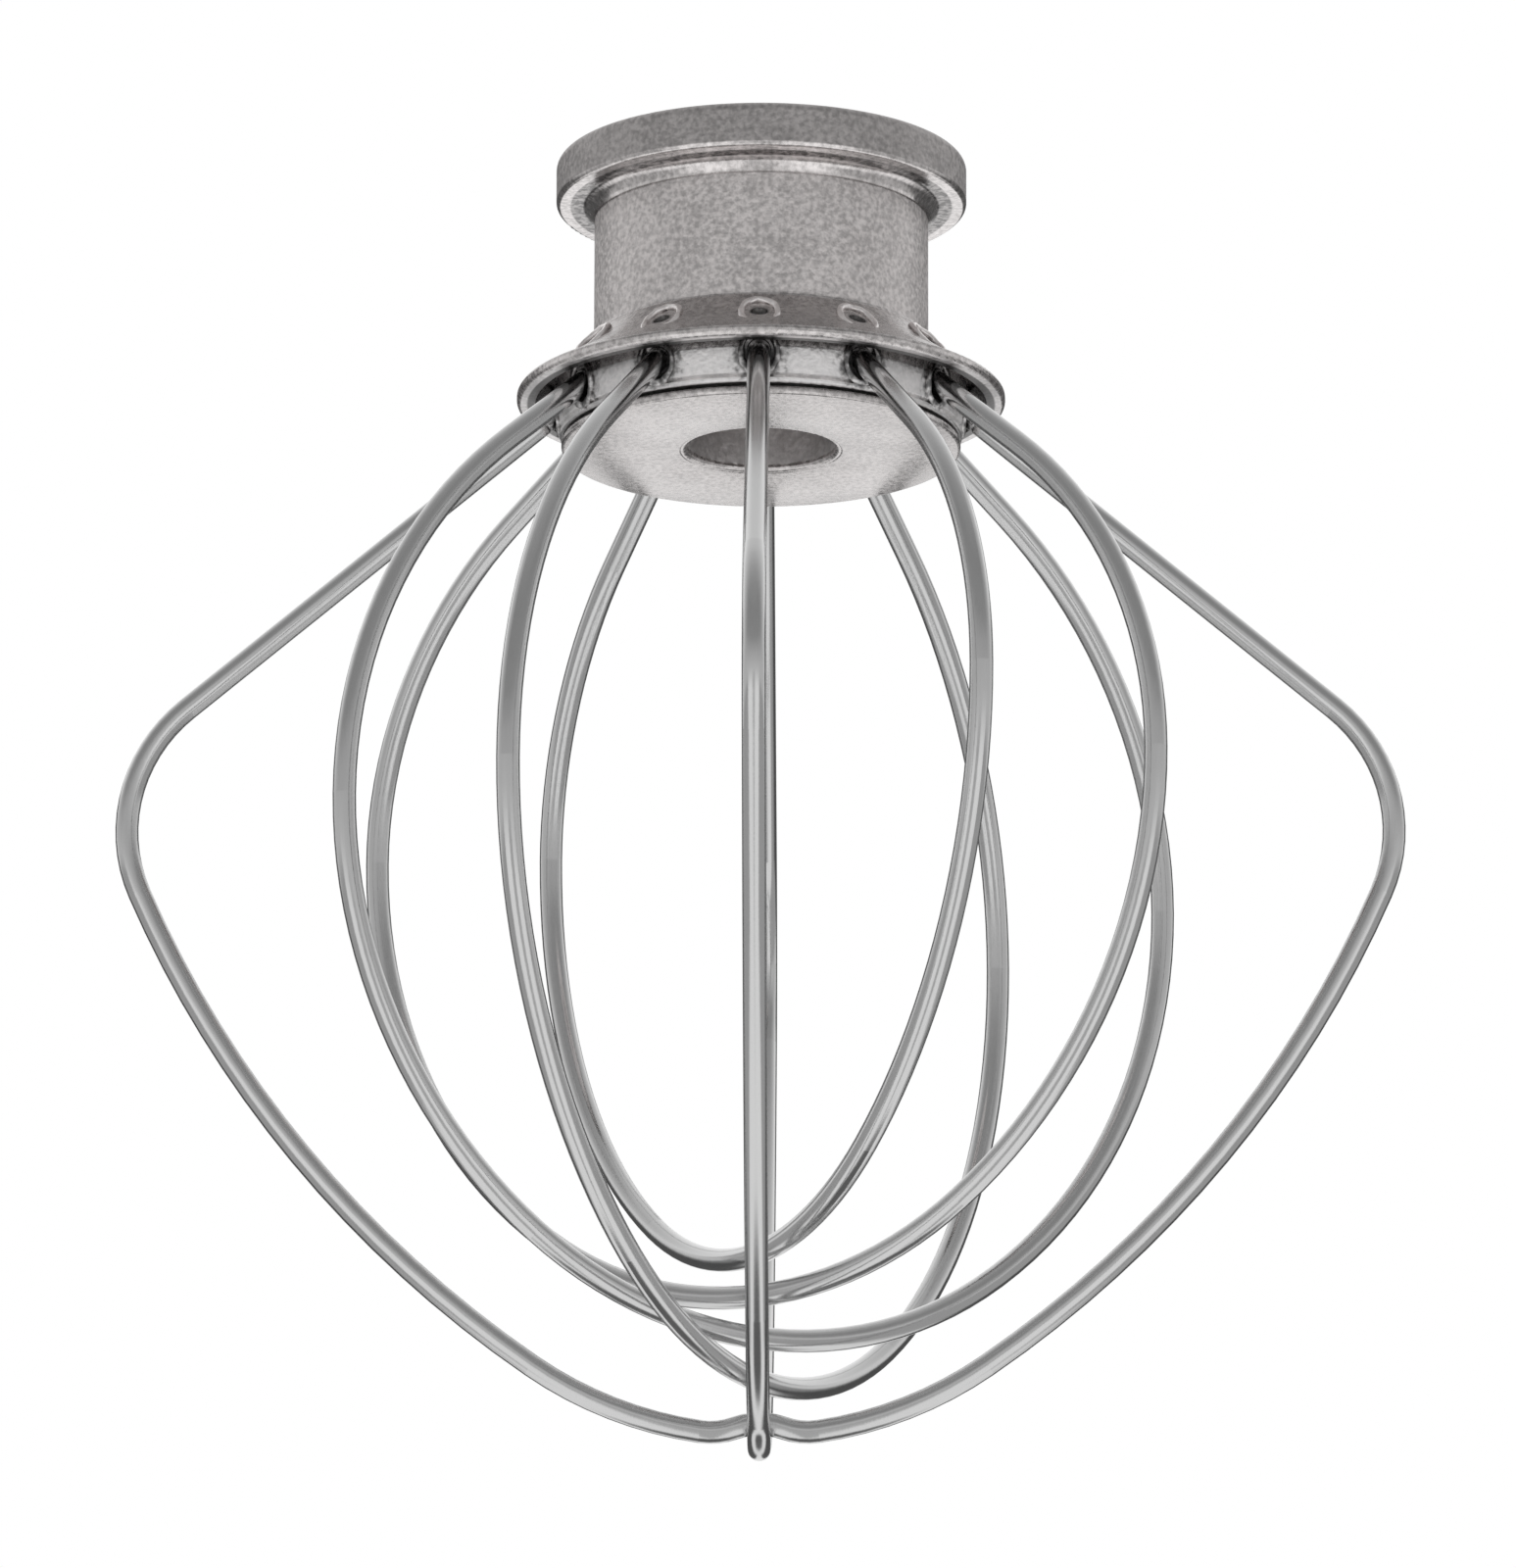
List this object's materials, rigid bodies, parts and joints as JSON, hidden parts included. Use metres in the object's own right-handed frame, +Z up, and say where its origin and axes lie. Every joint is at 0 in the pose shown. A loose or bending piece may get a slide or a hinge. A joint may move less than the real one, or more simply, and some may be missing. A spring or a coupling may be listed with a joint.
{
  "type": "stand mixer wire whisk",
  "caption": "Whisk for a stand mixer: bent steel wire loops, nested at the tip and staked into a flanged cast hub with a shaft bore and a dog-leg pin slot.",
  "frame": {"origin": "centre of the shaft bore's mouth, on the top face of the hub's flange", "axes": "+Z up the drive shaft, -Y to the front, with one large loop in the XZ plane and the other in the YZ plane; the wires hang down from the hub"},
  "size_m": [0.1116, 0.1116, 0.1161],
  "materials": {
    "cast_aluminium": "satin casting, finely speckled",
    "steel_wire": "bright drawn stainless wire"
  },
  "bodies": {
    "root": {"hub": "cast_aluminium", "large_loop_lower": "steel_wire", "large_loop_upper": "steel_wire", "round_loop_1": "steel_wire", "round_loop_2": "steel_wire", "round_loop_3": "steel_wire", "round_loop_4": "steel_wire"}
  },
  "joints": []
}
